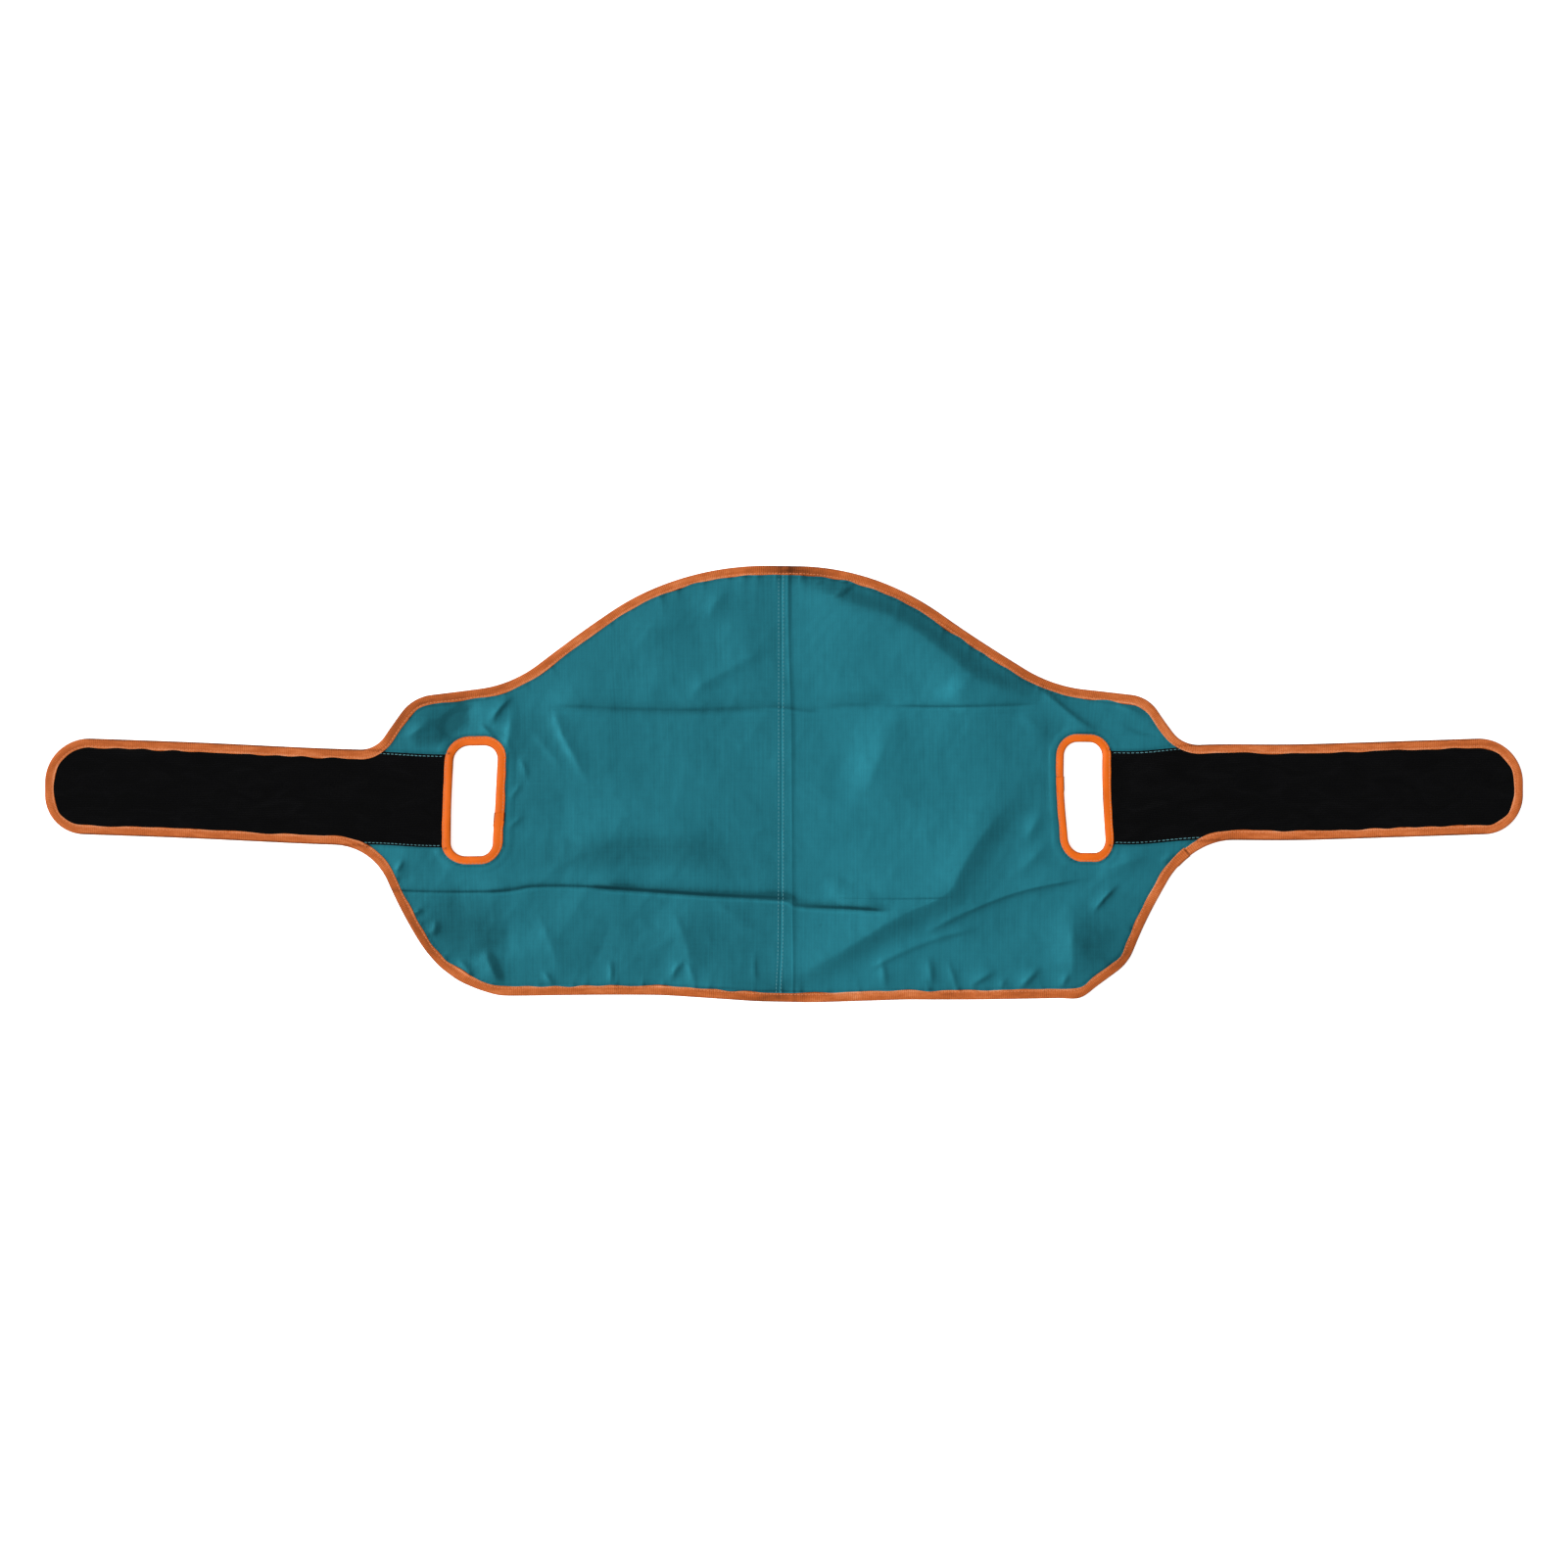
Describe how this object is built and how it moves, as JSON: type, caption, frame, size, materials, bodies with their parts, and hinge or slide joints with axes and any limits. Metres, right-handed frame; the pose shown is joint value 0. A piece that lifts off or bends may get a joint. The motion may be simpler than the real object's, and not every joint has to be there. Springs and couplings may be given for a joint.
{
  "type": "gait belt",
  "caption": "Wide fabric transfer belt: a bound-edge back panel with two hand slots, narrowing to two hook-and-loop arms that wrap and fasten, folding flat down the middle.",
  "frame": {"origin": "middle of the bounding box, on the surface that the open belt lies on", "axes": "+X along the belt towards the plain-tipped right arm, +Y up the panel towards its tall edge, +Z out of the face with the loop strips"},
  "size_m": [1.27, 0.375, 0.0039],
  "materials": {
    "shell_cloth": "satin",
    "lining_cloth": "matte",
    "edge_binding": "matte",
    "slot_binding": "satin",
    "loop_strip": "matte",
    "hook_patch": "satin",
    "stiffener": "matte"
  },
  "bodies": {
    "centre_left": {"shell_centre_left": "shell_cloth", "lining_centre_left": "lining_cloth", "binding_centre_left": "edge_binding", "centre_seam_fell": "shell_cloth"},
    "centre_right": {"shell_centre_right": "shell_cloth", "lining_centre_right": "lining_cloth", "binding_centre_right": "edge_binding"},
    "side_left": {"shell_side_left": "shell_cloth", "lining_side_left": "lining_cloth", "binding_side_left": "edge_binding"},
    "side_right": {"shell_side_right": "shell_cloth", "lining_side_right": "lining_cloth", "binding_side_right": "edge_binding"},
    "wing_left": {"shell_wing_left": "shell_cloth", "lining_wing_left": "lining_cloth", "binding_wing_left": "edge_binding", "loop_strip_wing_left": "loop_strip", "slot_binding_left": "slot_binding", "slot_patch_left": "stiffener"},
    "wing_right": {"shell_wing_right": "shell_cloth", "lining_wing_right": "lining_cloth", "binding_wing_right": "edge_binding", "loop_strip_wing_right": "loop_strip", "slot_binding_right": "slot_binding", "slot_patch_right": "stiffener"},
    "arm_left": {"shell_arm_left": "shell_cloth", "lining_arm_left": "lining_cloth", "binding_arm_left": "edge_binding", "loop_strip_arm_left": "loop_strip"},
    "arm_right": {"shell_arm_right": "shell_cloth", "lining_arm_right": "lining_cloth", "binding_arm_right": "edge_binding", "loop_strip_arm_right": "loop_strip"},
    "tip_left": {"shell_tip_left": "shell_cloth", "lining_tip_left": "lining_cloth", "binding_tip_left": "edge_binding", "loop_strip_tip_left": "loop_strip", "hook_patch": "hook_patch"},
    "tip_right": {"shell_tip_right": "shell_cloth", "lining_tip_right": "lining_cloth", "binding_tip_right": "edge_binding", "loop_strip_tip_right": "loop_strip"}
  },
  "joints": [
    {"name": "centre_fold", "type": "hinge", "parent": "centre_left", "child": "centre_right", "pos_m": [0.0065, 0, 0.0024], "axis": [0, 1, 0], "range_deg": [-172, 0]},
    {"name": "back_fold_left", "type": "hinge", "parent": "centre_left", "child": "side_left", "pos_m": [-0.08, 0, 0.0024], "axis": [0, 1, 0], "range_deg": [0, 46]},
    {"name": "side_fold_left", "type": "hinge", "parent": "side_left", "child": "wing_left", "pos_m": [-0.215, 0, 0.0024], "axis": [0, 1, 0], "range_deg": [0, 45]},
    {"name": "root_fold_left", "type": "hinge", "parent": "wing_left", "child": "arm_left", "pos_m": [-0.345, 0, 0.0036], "axis": [0, 1, 0], "range_deg": [0, 45]},
    {"name": "arm_fold_left", "type": "hinge", "parent": "arm_left", "child": "tip_left", "pos_m": [-0.44, 0, 0.0041], "axis": [0, 1, 0], "range_deg": [0, 44]},
    {"name": "back_fold_right", "type": "hinge", "parent": "centre_right", "child": "side_right", "pos_m": [0.08, 0, 0.0024], "axis": [0, -1, 0], "range_deg": [0, 48]},
    {"name": "side_fold_right", "type": "hinge", "parent": "side_right", "child": "wing_right", "pos_m": [0.215, 0, 0.0024], "axis": [0, -1, 0], "range_deg": [0, 44]},
    {"name": "root_fold_right", "type": "hinge", "parent": "wing_right", "child": "arm_right", "pos_m": [0.345, 0, 0.0036], "axis": [0, -1, 0], "range_deg": [0, 43]},
    {"name": "arm_fold_right", "type": "hinge", "parent": "arm_right", "child": "tip_right", "pos_m": [0.44, 0, 0.0036], "axis": [0, -1, 0], "range_deg": [0, 45]}
  ]
}
